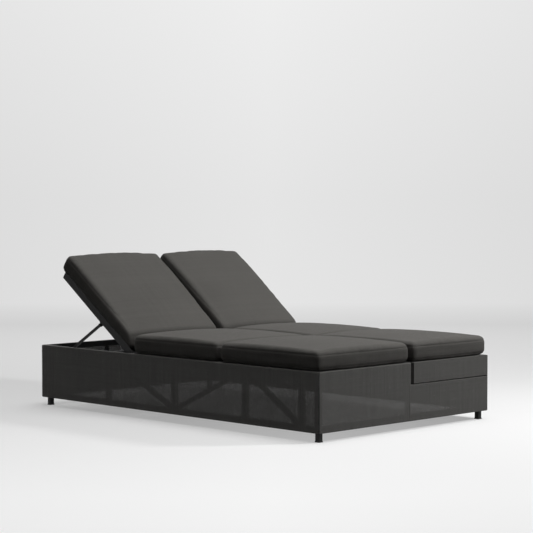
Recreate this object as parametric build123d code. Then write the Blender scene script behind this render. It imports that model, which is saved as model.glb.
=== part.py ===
from build123d import *
import os
from math import atan2, cos, degrees, hypot, radians, sin, tan

# A double chaise lounger for a patio: one low box base in black tube and outdoor mesh, two backrests
# side by side that prop up on notched racks, six loose cushions, and a tray that pulls out of the foot.
# X runs from the head (low) to the foot (high), Y from the near side (low) to the far side, Z is up,
# and the origin is on the floor under the middle of the base.

# Base, measured over its mesh skin
base_length = 2030.0
base_width = 1220.0
panel_height = 278.0
floor_gap = 42.0
mesh_thickness = 1.2
wrap_radius = 4.0
tube_corner = wrap_radius - mesh_thickness
corner_groove = 3.5

# Tubes of the base
rail_depth = 20.0
rail_height = 30.0
rail_wall = 1.8
leg_size = 25.0
beam_width = 25.0
beam_height = 25.0
centre_beam_width = 25.0
centre_beam_height = 50.0
side_post_width = 28.0
brace_width = 20.0
head_post_width = 12.0
glide_height = 5.0
glide_lip = 1.5
glide_plug_height = 18.0

# Places along the base, from its head end or its foot end
hinge_from_head = 718.0
prop_post_from_head = 544.0
middle_post_from_foot = 982.0
tray_post_from_foot = 484.0
foot_post_from_foot = 119.0
seat_foot_split_from_foot = 664.0
deck_beam_gap = 30.0
head_post_y = 173.0

# Tray at the far half of the foot end
slot_near_y = 21.5
slot_far_y = 44.0
mesh_seam_y = 11.0
seam_gap = 0.8
tray_front_height = 100.5
tray_joint_gap = 4.0
tray_depth = 392.0
tray_box_height = 52.0
tray_wall = 2.0
tray_side_clearance = 14.0
tray_top_drop = 12.0
guide_width = 14.0
guide_height = 27.0
guide_wall = 2.0
runner_width = 11.0
runner_gap = 0.5

# Backrests
rest_angle = 35.5
highest_angle = 50.5
back_rail_width = 20.0
back_rail_depth = 40.0
back_frame_reach = 684.0
back_side_gap = 6.8
back_cross_rail_offset = 45.0
sling_thickness = 1.2
pin_radius = 5.0
bracket_thickness = 5.0
bracket_length = 42.0
bracket_height = 26.0
weep_hole_radius = 3.0

# Prop struts: a U-shaped bail under each backrest, whose foot bar drops into notched racks
lug_reach = 302.0
lug_drop = 16.0
lug_thickness = 4.0
lug_root_length = 44.0
strut_length = 356.0
strut_height = 14.0
strut_thickness = 8.0
strut_eye_radius = 9.0
strut_ratio = 0.867
strut_pin_radius = 4.0
strut_pin_head_radius = 7.0
strut_pin_head = 1.5
foot_bar_radius = 8.0
foot_bar_wall = 1.6
rack_thickness = 6.0
rack_height = 31.0
rack_front_overlap = 14.0
notch_angles = [25.0, rest_angle, 43.0, highest_angle]
notch_radius = 8.4
notch_depth = 9.0
lift_steps = 50

# Cushions
seat_cushion_thickness = 96.0
seat_cushion_crown = 12.0
seat_cushion_edge_drop = 6.0
seat_cushion_setback = 21.0
foot_cushion_setback = 2.0
back_cushion_thickness = 105.0
back_cushion_crown = 5.0
back_cushion_edge_drop = 8.0
back_cushion_hinge_radius = 28.0
back_cushion_overhang = 25.0
cushion_split_y = 28.0
cushion_split_gap = 28.0
cushion_side_inset = 2.0
cushion_gap = 4.0
cushion_top_radius = 24.0
cushion_bottom_radius = 15.0
cushion_end_radius = 26.0
cushion_side_round = 12.0
cushion_under_share = 0.35
cushion_middle_shares = [0, 0.5, 1]
cushion_side_angles = [35, 65, 90]

# Clearances
seat_gap = 0.3
running_gap = 0.1
press_gap = 0.05
swing_gap = 0.5
cut_overrun = 5.0

# Levels and planes that follow from the sizes above
panel_bottom = floor_gap
panel_top = floor_gap + panel_height
rim_z = panel_top - mesh_thickness
top_rail_low = rim_z - rail_height
bottom_rail_low = panel_bottom + mesh_thickness
bottom_rail_high = bottom_rail_low + rail_height
beam_low = rim_z - beam_height
half_length = base_length / 2
half_width = base_width / 2
hinge_x = hinge_from_head - half_length
prop_post_x = prop_post_from_head - half_length
middle_post_x = half_length - middle_post_from_foot
tray_post_x = half_length - tray_post_from_foot
foot_post_x = half_length - foot_post_from_foot
seat_foot_split_x = half_length - seat_foot_split_from_foot
rail_outer_x = half_length - mesh_thickness
rail_inner_x = rail_outer_x - rail_depth
rail_outer_y = half_width - mesh_thickness
rail_inner_y = rail_outer_y - rail_depth
leg_inner_x = rail_inner_x - leg_size
leg_inner_y = rail_inner_y - leg_size
centre_face_y = centre_beam_width / 2
centre_beam_low = rim_z - centre_beam_height
sill_top = panel_top - tray_front_height - tray_joint_gap
sill_high = sill_top - mesh_thickness
hinge_z = panel_top - back_rail_depth / 2
back_outer_y = rail_inner_y - back_side_gap
back_inner_y = centre_face_y + back_side_gap
deck_rear_x = hinge_x + back_rail_depth / 2 + cushion_gap
lug_rise = back_rail_depth / 2 + lug_drop
prop_inner_y = centre_face_y + rack_thickness + swing_gap
prop_outer_y = rail_inner_y - rack_thickness - swing_gap
sides = {"near": -1, "far": 1}


def block(low, high):
    """A plain box between its lowest and its highest corner."""
    size = [b - a for a, b in zip(low, high)]
    middle = [(a + b) / 2 for a, b in zip(low, high)]
    return Pos(*middle) * Box(*size)


def tube(axis, low, high, wall=rail_wall, corner=tube_corner, capped=False):
    """A rectangular tube that fills the box from low to high and runs along the axis.

    Its corner is the outer radius; tubes that only show from below are drawn with none.
    """
    size = [b - a for a, b in zip(low, high)]
    middle = [(a + b) / 2 for a, b in zip(low, high)]
    run = {"X": 0, "Y": 1, "Z": 2}[axis]
    wide, tall = size[(run + 1) % 3], size[(run + 2) % 3]
    normal = [0, 0, 0]
    normal[run] = 1
    across = [0, 0, 0]
    across[(run + 1) % 3] = 1
    middle[run] = low[run]
    plane = Plane(origin=middle, x_dir=across, z_dir=normal)
    profile = RectangleRounded(wide, tall, corner) if corner else Rectangle(wide, tall)
    solid = extrude(plane * profile, amount=size[run])
    bore = Rectangle(wide - 2 * wall, tall - 2 * wall)
    if capped:
        start = plane.offset(wall)
        return solid - extrude(start * bore, amount=size[run] - 2 * wall)
    return solid - extrude(plane * bore, amount=size[run])


def mirror_side(low_y, high_y, side):
    """The Y range of a piece, given from the middle outwards, on its own side of the base."""
    return sorted((side * low_y, side * high_y))


def side_box(x_low, x_high, y_inner, y_outer, z_low, z_high, side):
    """The two corners of a box whose Y range is given outwards from the middle."""
    y_low, y_high = mirror_side(y_inner, y_outer, side)
    return (x_low, y_low, z_low), (x_high, y_high, z_high)


def plate(outline, y_low, y_high):
    """A flat plate whose outline is drawn in X and Z, between two Y planes."""
    plane = Plane(origin=(0, y_high, 0), x_dir=(1, 0, 0), z_dir=(0, -1, 0))
    return extrude(plane * outline, amount=y_high - y_low)


def cross_rod(x, z, radius, y_low, y_high):
    """A round rod along Y."""
    return plate(Pos(x, z) * Circle(radius), y_low, y_high)


# Mesh skin

def wrap_profile(depth, height):
    """Mesh folded round a frame: a flat face with a fold over the top and under the bottom."""
    outer = RectangleRounded(2 * depth, height, wrap_radius)
    core = RectangleRounded(2 * (depth - mesh_thickness), height - 2 * mesh_thickness, tube_corner)
    half = Pos(-depth / 2, 0) * Rectangle(depth, height)
    return Pos(depth, height / 2) * ((outer - core) & half)


def side_mesh(side):
    """The mesh along one long side, mitred at the corners.

    On the far side only its face goes on past the tray front, up to the corner.
    """
    depth = mesh_thickness + rail_depth
    plane = Plane(origin=(side * half_length, side * half_width, panel_bottom), x_dir=(0, -side, 0),
                  z_dir=(-side, 0, 0))
    skin = extrude(plane * wrap_profile(depth, panel_height), amount=base_length)
    long_end = half_length - corner_groove
    short_end = long_end - depth
    outline = Polyline((-long_end, side * half_width), (long_end, side * half_width),
                       (short_end, side * (half_width - depth)),
                       (-short_end, side * (half_width - depth)), close=True)
    keep = extrude(Pos(0, 0, panel_bottom) * make_face(outline), amount=panel_height)
    skin = skin & keep
    if side > 0:
        notch_low = (rail_inner_x - seat_gap, rail_inner_y - cut_overrun, sill_top)
        notch_high = (half_length + cut_overrun, rail_outer_y, panel_top + cut_overrun)
        skin = skin - block(notch_low, notch_high)
    return skin


def end_mesh(end, z_low, z_high, y_low, y_high, mitred_low, mitred_high):
    """Mesh on the head or foot end between two Y places, mitred where it meets a long side."""
    depth = mesh_thickness + rail_depth
    start = y_low if end > 0 else y_high
    plane = Plane(origin=(end * half_length, start, z_low), x_dir=(-end, 0, 0), z_dir=(0, end, 0))
    skin = extrude(plane * wrap_profile(depth, z_high - z_low), amount=y_high - y_low)
    inner_x = end * (half_length - depth)
    outline = Polyline((end * half_length, y_low), (end * half_length, y_high),
                       (inner_x, y_high - depth * mitred_high), (inner_x, y_low + depth * mitred_low),
                       close=True)
    return skin & extrude(Pos(0, 0, z_low) * make_face(outline), amount=z_high - z_low)


def head_end_mesh():
    end_y = half_width - corner_groove
    return end_mesh(-1, panel_bottom, panel_top, -end_y, end_y, 1, 1)


def foot_near_mesh():
    """The near half of the foot end, with the fold that lines the finger slot."""
    end_y = half_width - corner_groove
    skin = end_mesh(1, panel_bottom, panel_top, -end_y, slot_near_y, 1, 0)
    cut_low = (rail_inner_x - cut_overrun, mesh_seam_y - seam_gap, panel_bottom - cut_overrun)
    cut_high = (half_length + cut_overrun, slot_near_y + cut_overrun, sill_top)
    lining = block((rail_inner_x, slot_near_y - mesh_thickness, sill_top),
                   (rail_outer_x, slot_near_y, rim_z))
    return skin - block(cut_low, cut_high) + lining


def foot_lower_mesh():
    """The skin under the tray, on the far half of the foot end, folded behind only past the divider."""
    skin = end_mesh(1, panel_bottom, sill_top, mesh_seam_y, half_width - corner_groove, 0, 1)
    divider_low = (rail_inner_x - cut_overrun, mesh_seam_y - cut_overrun, bottom_rail_high)
    return skin - block(divider_low, (rail_outer_x, slot_near_y - mesh_thickness, panel_top))


# Base frame

def long_rail(side, z_low):
    """A rail along one long side, short of the rounded fold of the end skins."""
    foot_end = rail_outer_x - tube_corner
    if side > 0 and z_low > sill_high:
        foot_end = rail_inner_x - seat_gap
    return tube("X", *side_box(tube_corner - rail_outer_x, foot_end, rail_inner_y, rail_outer_y,
                               z_low, z_low + rail_height, side))


def end_rail(end, z_low, y_low, y_high):
    """A rail across the head or the foot end."""
    x_low, x_high = sorted((end * rail_inner_x, end * rail_outer_x))
    return tube("Y", (x_low, y_low, z_low), (x_high, y_high, z_low + rail_height))


def foot_divider():
    """The upright beside the finger slot, in the middle of the foot end."""
    high_y = slot_near_y - mesh_thickness
    return tube("Z", (rail_inner_x, high_y - rail_depth, bottom_rail_high),
                (rail_outer_x, high_y, rim_z - tube_corner))


def corner_leg(side, end):
    """A leg inside one corner, down to its glide and up to the deck, or to the lowered backrest."""
    x_low, x_high = sorted((end * leg_inner_x, end * rail_inner_x))
    y_low, y_high = mirror_side(leg_inner_y, rail_inner_y, side)
    high = rim_z if end > 0 else hinge_z - back_rail_depth / 2 - swing_gap
    return tube("Z", (x_low, y_low, glide_height), (x_high, y_high, high))


def leg_glides():
    """Plastic feet plugged into the four legs."""
    glides = []
    lip = leg_size + 2 * glide_lip
    plug = leg_size - 2 * (rail_wall + press_gap)
    for end in (-1, 1):
        for side in sides.values():
            centre = Pos(end * (leg_inner_x + leg_size / 2), side * (leg_inner_y + leg_size / 2), 0)
            foot = extrude(RectangleRounded(lip, lip, tube_corner), amount=glide_height)
            stem = Pos(0, 0, glide_height) * extrude(Rectangle(plug, plug), amount=glide_plug_height)
            glides.append(centre * (foot + stem))
    return Compound(children=glides)


def post_places():
    """The X ranges of the uprights in a long side, head end first."""
    middles = [prop_post_x, middle_post_x, tray_post_x, foot_post_x]
    half = side_post_width / 2
    places = [(-rail_outer_x, -rail_outer_x + side_post_width)]
    places += [(x - half, x + half) for x in middles]
    places += [(rail_outer_x - side_post_width, rail_outer_x)]
    return places


def side_posts(side):
    """The uprights between the top and bottom rails of a long side."""
    posts = []
    places = post_places()
    for index, (x_low, x_high) in enumerate(places):
        high = top_rail_low
        if side > 0 and index == len(places) - 1:
            x_low = max(x_low, rail_inner_x)
            high = sill_high - tube_corner
        posts.append(tube("Z", *side_box(x_low, x_high, rail_inner_y, rail_outer_y,
                                         bottom_rail_high, high, side), corner=0))
    return posts


def side_braces(side):
    """Slanting struts that make the long side a truss: each fills one bay from corner to corner."""
    half = side_post_width / 2
    bays = [(middle_post_x - half, prop_post_x + half), (middle_post_x + half, tray_post_x - half),
            (foot_post_x - half, tray_post_x + half)]
    y_low, y_high = mirror_side(rail_inner_y, rail_outer_y, side)
    braces = []
    for foot_x, top_x in bays:
        rise = top_rail_low - bottom_rail_high
        run = top_x - foot_x
        slope = degrees(atan2(rise, run))
        length = hypot(rise, run) * 2
        centre = Pos((foot_x + top_x) / 2, (bottom_rail_high + top_rail_low) / 2) * Rot(0, 0, slope)
        bar = plate(centre * Rectangle(length, brace_width), y_low, y_high)
        hollow = plate(centre * Rectangle(length, brace_width - 2 * rail_wall),
                       y_low + rail_wall, y_high - rail_wall)
        bay = block((min(foot_x, top_x), y_low, bottom_rail_high),
                    (max(foot_x, top_x), y_high, top_rail_low))
        braces.append((bar - hollow) & bay)
    return braces


def head_posts():
    """Thin uprights in the head end."""
    posts = []
    for side in sides.values():
        y = side * head_post_y
        posts.append(tube("Z", (-rail_outer_x, y - head_post_width / 2, bottom_rail_high),
                          (-rail_inner_x, y + head_post_width / 2, top_rail_low), corner=0))
    return Compound(children=posts)


def centre_beam():
    """The beam between the two halves, from the head rail to the foot beam."""
    return tube("X", (-rail_inner_x, -centre_face_y, centre_beam_low),
                (leg_inner_x, centre_face_y, rim_z))


def foot_beam():
    """The deck beam behind the tray front, between the two foot legs."""
    return tube("Y", (leg_inner_x, -leg_inner_y, beam_low), (rail_inner_x, leg_inner_y, rim_z))


def deck_beam_places():
    """The X of the rear face of each cross beam of the deck."""
    split_x = seat_foot_split_x - beam_width / 2
    middle_x = (deck_rear_x + split_x) / 2
    tray_x = rail_inner_x - tray_depth + deck_beam_gap
    return [deck_rear_x, middle_x, split_x, tray_x]


def deck_beams(side):
    """Cross beams under one half of the deck, from the centre beam to the side rail."""
    beams = []
    for x in deck_beam_places():
        beams.append(tube("Y", *side_box(x, x + beam_width, centre_face_y, rail_inner_y,
                                         beam_low, rim_z, side), corner=0))
    return beams


def deck_sling(side):
    """The sheet that carries the seat and foot cushions of one half, level with the rim."""
    return [block(*side_box(deck_rear_x, rail_inner_x, 0, rail_inner_y, rim_z, panel_top, side))]


def rack_hangers():
    """What holds the inner racks: an upright at the head end and a short drop under the centre beam."""
    head = tube("Z", (-rail_inner_x, -centre_face_y, bottom_rail_low),
                (-leg_inner_x, centre_face_y, centre_beam_low), corner=0)
    half = centre_beam_width / 2
    drop = tube("Z", (prop_post_x - half, -centre_face_y, rack_low),
                (prop_post_x + half, centre_face_y, centre_beam_low), corner=0)
    return Compound(children=[head, drop])


# Backrest mechanism. A point of the backrest is given by its reach from the hinge along the frame
# and its rise square to it; lifting the backrest turns both about the hinge.

def back_point(reach, rise, angle):
    """Where a point of the backrest is in X and Z when the frame stands at an angle."""
    turn = radians(angle)
    x = hinge_x - reach * cos(turn) + rise * sin(turn)
    z = hinge_z + reach * sin(turn) + rise * cos(turn)
    return x, z


def foot_point(angle):
    """Where the foot bar is when the backrest stands at an angle."""
    lug_x, lug_z = back_point(lug_reach, -lug_rise, angle)
    lean = radians(angle * strut_ratio)
    return lug_x - strut_length * cos(lean), lug_z - strut_length * sin(lean)


def posed(solid):
    """Turn a backrest piece that is drawn lying flat up to the photographed angle."""
    hinge = Axis((hinge_x, 0, hinge_z), (0, 1, 0))
    return solid.rotate(hinge, rest_angle)


lowest_foot_z = min(foot_point(highest_angle * step / lift_steps)[1] for step in range(lift_steps + 1))
rack_top = lowest_foot_z - foot_bar_radius - seat_gap
rack_low = rack_top - rack_height


def prop_rack(side, y_inner, y_outer, head_x):
    """One notched bar: the foot bar of the strut drops into a notch for each backrest angle."""
    foot_x = prop_post_x + rack_front_overlap
    outline = Pos((head_x + foot_x) / 2, (rack_top + rack_low) / 2) * Rectangle(foot_x - head_x, rack_height)
    for angle in notch_angles:
        notch_x = foot_point(angle)[0]
        mouth = Pos(notch_x, rack_top) * Rectangle(2 * notch_radius, 2 * notch_depth)
        seat = Pos(notch_x, rack_top - notch_depth) * Circle(notch_radius)
        outline = outline - mouth - seat
    y_low, y_high = mirror_side(y_inner, y_outer, side)
    return plate(outline, y_low, y_high)


def prop_racks(side):
    """The two racks of one backrest, on the side rail's leg and post and on the centre beam's hangers."""
    outer = prop_rack(side, rail_inner_y - rack_thickness, rail_inner_y, -leg_inner_x)
    inner = prop_rack(side, centre_face_y, centre_face_y + rack_thickness, -rail_inner_x)
    return [outer, inner]


def hinge_brackets(side):
    """Plates on the side rail and the centre beam that carry the hinge pins of a backrest."""
    brackets = []
    outline = Pos(hinge_x, hinge_z) * Rectangle(bracket_length, bracket_height)
    outline = outline - Pos(hinge_x, hinge_z) * Circle(pin_radius + running_gap)
    for y_inner, y_outer in ((rail_inner_y - bracket_thickness, rail_inner_y),
                             (centre_face_y, centre_face_y + bracket_thickness)):
        y_low, y_high = mirror_side(y_inner, y_outer, side)
        brackets.append(plate(outline, y_low, y_high))
    return brackets


def back_side_rail(side, y_inner, y_outer):
    """A side tube of a backrest frame: round at the hinge, closed at both ends, with a weep hole."""
    half = back_rail_depth / 2
    reach = back_frame_reach - back_rail_width
    y_low, y_high = mirror_side(y_inner, y_outer, side)
    outer = Pos(hinge_x - reach / 2, hinge_z) * Rectangle(reach, back_rail_depth)
    outer = outer + Pos(hinge_x, hinge_z) * Circle(half)
    inner_half = half - rail_wall
    hollow_head = reach - rail_wall
    hollow_foot = pin_radius * 2
    hollow = Pos(hinge_x - (hollow_head + hollow_foot) / 2, hinge_z) * Rectangle(
        hollow_head - hollow_foot, 2 * inner_half)
    rail = plate(outer, y_low, y_high) - plate(hollow, y_low + rail_wall, y_high - rail_wall)
    weep = Pos(hinge_x - reach + back_rail_width, (y_low + y_high) / 2, hinge_z - half) * Cylinder(
        weep_hole_radius, 2 * back_rail_width)
    pin_hole = cross_rod(hinge_x, hinge_z, pin_radius + press_gap, y_low - cut_overrun, y_high + cut_overrun)
    return posed(rail - weep - pin_hole)


def back_cross_rail(side, reach_low, y_inner, y_outer, capped):
    """A cross tube of a backrest frame."""
    low, high = side_box(hinge_x - reach_low - back_rail_width, hinge_x - reach_low, y_inner, y_outer,
                         hinge_z - back_rail_depth / 2, hinge_z + back_rail_depth / 2, side)
    rail = tube("Y", low, high, capped=capped)
    if capped:
        middle = [(a + b) / 2 for a, b in zip(low, high)]
        rail = rail - Pos(middle[0], middle[1], low[2]) * Cylinder(weep_hole_radius, back_rail_width)
    return posed(rail)


def back_sling(side):
    """The sheet stretched over a backrest frame."""
    low, high = side_box(hinge_x - back_frame_reach, hinge_x - back_rail_depth / 2, back_inner_y,
                         back_outer_y, hinge_z + back_rail_depth / 2,
                         hinge_z + back_rail_depth / 2 + sling_thickness, side)
    return posed(block(low, high))


def back_pins(side):
    """The two hinge pins of a backrest, through its side tubes into the brackets."""
    pins = []
    for y_inner, y_outer in ((back_outer_y - back_rail_width, rail_inner_y - seat_gap),
                             (centre_face_y + seat_gap, back_inner_y + back_rail_width)):
        y_low, y_high = mirror_side(y_inner, y_outer, side)
        pins.append(cross_rod(hinge_x, hinge_z, pin_radius, y_low, y_high))
    return posed(Compound(children=pins))


def strut_planes():
    """Y ranges, from the middle outwards, of the inner and the outer leg of a strut."""
    return ((prop_inner_y, prop_inner_y + strut_thickness),
            (prop_outer_y - strut_thickness, prop_outer_y))


def strut_lugs(side):
    """Ears welded under the backrest tubes, with the rivets that the strut swings on."""
    lug_x, lug_z = back_point(lug_reach, -lug_rise, 0)
    root_z = hinge_z - back_rail_depth / 2
    ear = make_face(Polyline((lug_x - lug_root_length / 2, root_z), (lug_x + lug_root_length / 2, root_z),
                             (lug_x + strut_eye_radius, lug_z), (lug_x - strut_eye_radius, lug_z),
                             close=True)) + Pos(lug_x, lug_z) * Circle(strut_eye_radius)
    lugs = []
    inner_leg, outer_leg = strut_planes()
    ears = ((inner_leg[1] + swing_gap, inner_leg[0], 1), (outer_leg[0] - swing_gap, outer_leg[1], -1))
    for face_y, far_y, way in ears:
        y_low, y_high = mirror_side(face_y, face_y + way * lug_thickness, side)
        rivet_low, rivet_high = mirror_side(far_y - way * (swing_gap + strut_pin_head), face_y, side)
        head_low, head_high = mirror_side(far_y - way * (swing_gap + strut_pin_head),
                                          far_y - way * swing_gap, side)
        rivet = cross_rod(lug_x, lug_z, strut_pin_radius, rivet_low, rivet_high)
        head = cross_rod(lug_x, lug_z, strut_pin_head_radius, head_low, head_high)
        lugs.append(plate(ear, y_low, y_high) + rivet + head)
    return posed(Compound(children=lugs))


def strut_leg(side, y_inner, y_outer):
    """One flat leg of a strut, with an eye at the backrest and one at the foot bar."""
    lug_x, lug_z = back_point(lug_reach, -lug_rise, rest_angle)
    foot_x, foot_z = foot_point(rest_angle)
    lean = degrees(atan2(lug_z - foot_z, lug_x - foot_x))
    foot_eye = foot_bar_radius + (strut_eye_radius - strut_pin_radius) / 2
    middle = Pos((lug_x + foot_x) / 2, (lug_z + foot_z) / 2) * Rot(0, 0, lean)
    outline = middle * Rectangle(strut_length, strut_height)
    outline = outline + Pos(lug_x, lug_z) * Circle(strut_eye_radius) + Pos(foot_x, foot_z) * Circle(foot_eye)
    outline = outline - Pos(lug_x, lug_z) * Circle(strut_pin_radius + running_gap)
    outline = outline - Pos(foot_x, foot_z) * Circle(foot_bar_radius + press_gap)
    y_low, y_high = mirror_side(y_inner, y_outer, side)
    return plate(outline, y_low, y_high)


def strut_foot_bar(side):
    """The round bar that joins the legs and reaches over both racks."""
    foot_x, foot_z = foot_point(rest_angle)
    y_low, y_high = mirror_side(centre_face_y + seat_gap, rail_inner_y - seat_gap, side)
    bar = cross_rod(foot_x, foot_z, foot_bar_radius, y_low, y_high)
    return bar - cross_rod(foot_x, foot_z, foot_bar_radius - foot_bar_wall, y_low, y_high)


# Tray

def tray_planes():
    """The lowest and highest Y and Z of the tray box."""
    y_low = slot_far_y + tray_side_clearance + guide_width
    y_high = leg_inner_y - tray_side_clearance
    z_high = beam_low - tray_top_drop
    return y_low, y_high, z_high - tray_box_height, z_high


def tray_box():
    """The sheet tray: a floor and four sides, open at the top, with a runner along each side."""
    y_low, y_high, z_low, z_high = tray_planes()
    x_low = rail_inner_x - tray_depth
    x_high = rail_inner_x + seat_gap
    inner_low = (x_low + tray_wall, y_low + tray_wall, z_low + tray_wall)
    inner_high = (x_high - tray_wall, y_high - tray_wall, z_high + cut_overrun)
    return block((x_low, y_low, z_low), (x_high, y_high, z_high)) - block(inner_low, inner_high)


def tray_front_board():
    """The board behind the tray's mesh front."""
    low = (rail_inner_x + seat_gap, slot_far_y + mesh_thickness, sill_top + tray_joint_gap + mesh_thickness)
    high = (rail_outer_x, half_width - corner_groove - mesh_thickness, rim_z)
    return block(low, high)


def tray_front_mesh():
    """The mesh wrapped round the tray front."""
    outer = block((rail_inner_x + seat_gap, slot_far_y, sill_top + tray_joint_gap),
                  (half_length, half_width - corner_groove, panel_top))
    outer = fillet(outer.edges().filter_by(Axis.Y).sort_by(Axis.X)[-2:], wrap_radius / 2)
    low_z = sill_top + tray_joint_gap + mesh_thickness
    low = (rail_inner_x - cut_overrun, slot_far_y + mesh_thickness, low_z)
    high = (rail_outer_x, half_width - corner_groove - mesh_thickness, rim_z)
    return outer - block(low, high)


def guide_frame():
    """Where the tray guides run: X range, Z range and the Y of each web's outer face."""
    y_low, y_high, z_low, z_high = tray_planes()
    return (rail_inner_x - tray_depth, rail_inner_x), (beam_low - guide_height, beam_low), (
        y_low - guide_width, y_high + guide_width)


def tray_guides():
    """Channels under the deck beams that the tray's runners slide in."""
    (x_low, x_high), (z_low, z_high), webs = guide_frame()
    guides = []
    for web, way in zip(webs, (1, -1)):
        inner = web + way * (guide_width - runner_gap)
        shell = block((x_low, min(web, inner), z_low), (x_high, max(web, inner), z_high))
        open_low = web + way * guide_wall
        open_high = web + way * (guide_width + cut_overrun)
        hollow = block((x_low - cut_overrun, min(open_low, open_high), z_low + guide_wall),
                       (x_high + cut_overrun, max(open_low, open_high), z_high - guide_wall))
        guides.append(shell - hollow)
    return Compound(children=guides)


def tray_runners():
    """Plastic strips on the tray's sides that ride in the guides."""
    (x_low, x_high), (z_low, z_high), webs = guide_frame()
    y_low, y_high, tray_low, tray_high = tray_planes()
    low = z_low + guide_wall + runner_gap
    near = block((x_low, y_low - runner_width, low), (x_high, y_low, tray_high))
    far = block((x_low, y_high, low), (x_high, y_high + runner_width, tray_high))
    return Compound(children=[near, far])


# Cushions

def cushion_outline(length, thickness, lean, hinge_radius, drop, crown):
    """The side view of a cushion: flat below, crowned above, its hinge end leaning back.

    The drop takes its top down, its underside up and both its ends in.
    """
    low = drop * cushion_under_share
    high = thickness - drop
    start_low = drop
    start_high = start_low + lean * thickness
    finish = length - drop
    bottom = Line((start_low, low), (finish, low))
    tall_end = Line((finish, low), (finish, high))
    top = ThreePointArc((finish, high), ((finish + start_high) / 2, high + crown), (start_high, high))
    hinge_end = Line((start_high, high), (start_low, low))
    face = make_face(bottom + tall_end + top + hinge_end)
    corners = (((finish, high), cushion_top_radius), ((start_high, high), hinge_radius),
               ((start_low, low), cushion_bottom_radius), ((finish, low), cushion_bottom_radius))
    for place, radius in corners:
        face = fillet(face.vertices().sort_by_distance(place)[:1], radius)
    return face


def cushion_section(y, drop, crown, length, thickness, lean, hinge_radius):
    """One side view of a cushion, at its place across the width."""
    plane = Plane(origin=(0, y, 0), x_dir=(1, 0, 0), z_dir=(0, -1, 0))
    return plane * cushion_outline(length, thickness, lean, hinge_radius, drop, crown)


def cushion(length, width, thickness, crown, edge_drop, lean=0.0, hinge_radius=cushion_top_radius):
    """A stuffed cushion: crowned both ways, fullest in the middle of each edge, rounded at both sides.

    Each station across the width gives its place, its drop and its crown.
    """
    shoulder = width / 2 - cushion_end_radius
    half_form = []
    for share in cushion_middle_shares:
        swell = 1 - share * share
        half_form.append((shoulder * share, edge_drop * (1 - swell), crown * (1 + swell) / 2))
    for angle in cushion_side_angles:
        turn = radians(angle)
        half_form.append((shoulder + cushion_end_radius * sin(turn),
                          edge_drop + cushion_side_round * (1 - cos(turn)), crown * (1 + cos(turn)) / 4))
    stations = [(-y, *form) for y, *form in reversed(half_form)] + half_form[1:]
    return loft([cushion_section(*form, length, thickness, lean, hinge_radius) for form in stations],
                ruled=True)


def cushion_range(side):
    """The Y range of one column of cushions, whose split lies a little past the middle of the base."""
    return sorted((side * (half_width - cushion_side_inset), cushion_split_y + side * cushion_split_gap / 2))


def level_cushion(side, x_low, x_high):
    """A cushion that lies on the deck between two X places."""
    y_low, y_high = cushion_range(side)
    pad = cushion(x_high - x_low, y_high - y_low, seat_cushion_thickness, seat_cushion_crown,
                  seat_cushion_edge_drop)
    return Pos(x_low, (y_low + y_high) / 2, panel_top + seat_gap) * pad


def seat_cushion(side):
    return level_cushion(side, hinge_x + seat_cushion_setback, seat_foot_split_x - cushion_gap / 2)


def foot_cushion(side):
    return level_cushion(side, seat_foot_split_x + cushion_gap / 2, half_length - foot_cushion_setback)


def back_cushion(side):
    """A back cushion, whose lower end is cut to a slope that stays behind the seat cushion."""
    lean = tan(radians(highest_angle))
    rise = back_rail_depth / 2 + sling_thickness + seat_gap
    start = rise * lean - (seat_cushion_setback - cushion_gap) / cos(radians(highest_angle))
    length = back_frame_reach + back_cushion_overhang - start
    y_low, y_high = cushion_range(side)
    pad = cushion(length, y_high - y_low, back_cushion_thickness, back_cushion_crown,
                  back_cushion_edge_drop, lean, back_cushion_hinge_radius)
    pad = pad.rotate(Axis.Z, 180)
    return posed(Pos(hinge_x - start, (y_low + y_high) / 2, hinge_z + rise) * pad)


# Writing the pieces. Small repeated pieces of the base share a node between the two sides.

def both_sides(make):
    return Compound(children=[solid for side in sides.values() for solid in make(side)])


pieces = {
    "near_side_mesh": side_mesh(-1),
    "far_side_mesh": side_mesh(1),
    "head_end_mesh": head_end_mesh(),
    "foot_near_mesh": foot_near_mesh(),
    "foot_lower_mesh": foot_lower_mesh(),
    "head_top_rail": end_rail(-1, top_rail_low, -rail_inner_y, rail_inner_y),
    "head_bottom_rail": end_rail(-1, bottom_rail_low, -rail_inner_y, rail_inner_y),
    "foot_top_rail": end_rail(1, top_rail_low, -rail_inner_y, slot_near_y - mesh_thickness - rail_depth),
    "foot_bottom_rail": end_rail(1, bottom_rail_low, -rail_inner_y, rail_inner_y),
    "tray_sill_rail": end_rail(1, sill_high - rail_height, slot_near_y - mesh_thickness, rail_inner_y),
    "foot_divider": foot_divider(),
    "head_posts": head_posts(),
    "side_posts": both_sides(side_posts),
    "side_braces": both_sides(side_braces),
    "deck_beams": both_sides(deck_beams),
    "deck_slings": both_sides(deck_sling),
    "prop_racks": both_sides(prop_racks),
    "hinge_brackets": both_sides(hinge_brackets),
    "leg_glides": leg_glides(),
    "centre_beam": centre_beam(),
    "foot_beam": foot_beam(),
    "rack_hangers": rack_hangers(),
    "tray_guides": tray_guides(),
    "tray_box": tray_box(),
    "tray_runners": tray_runners(),
    "tray_front_board": tray_front_board(),
    "tray_front_mesh": tray_front_mesh(),
}

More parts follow.
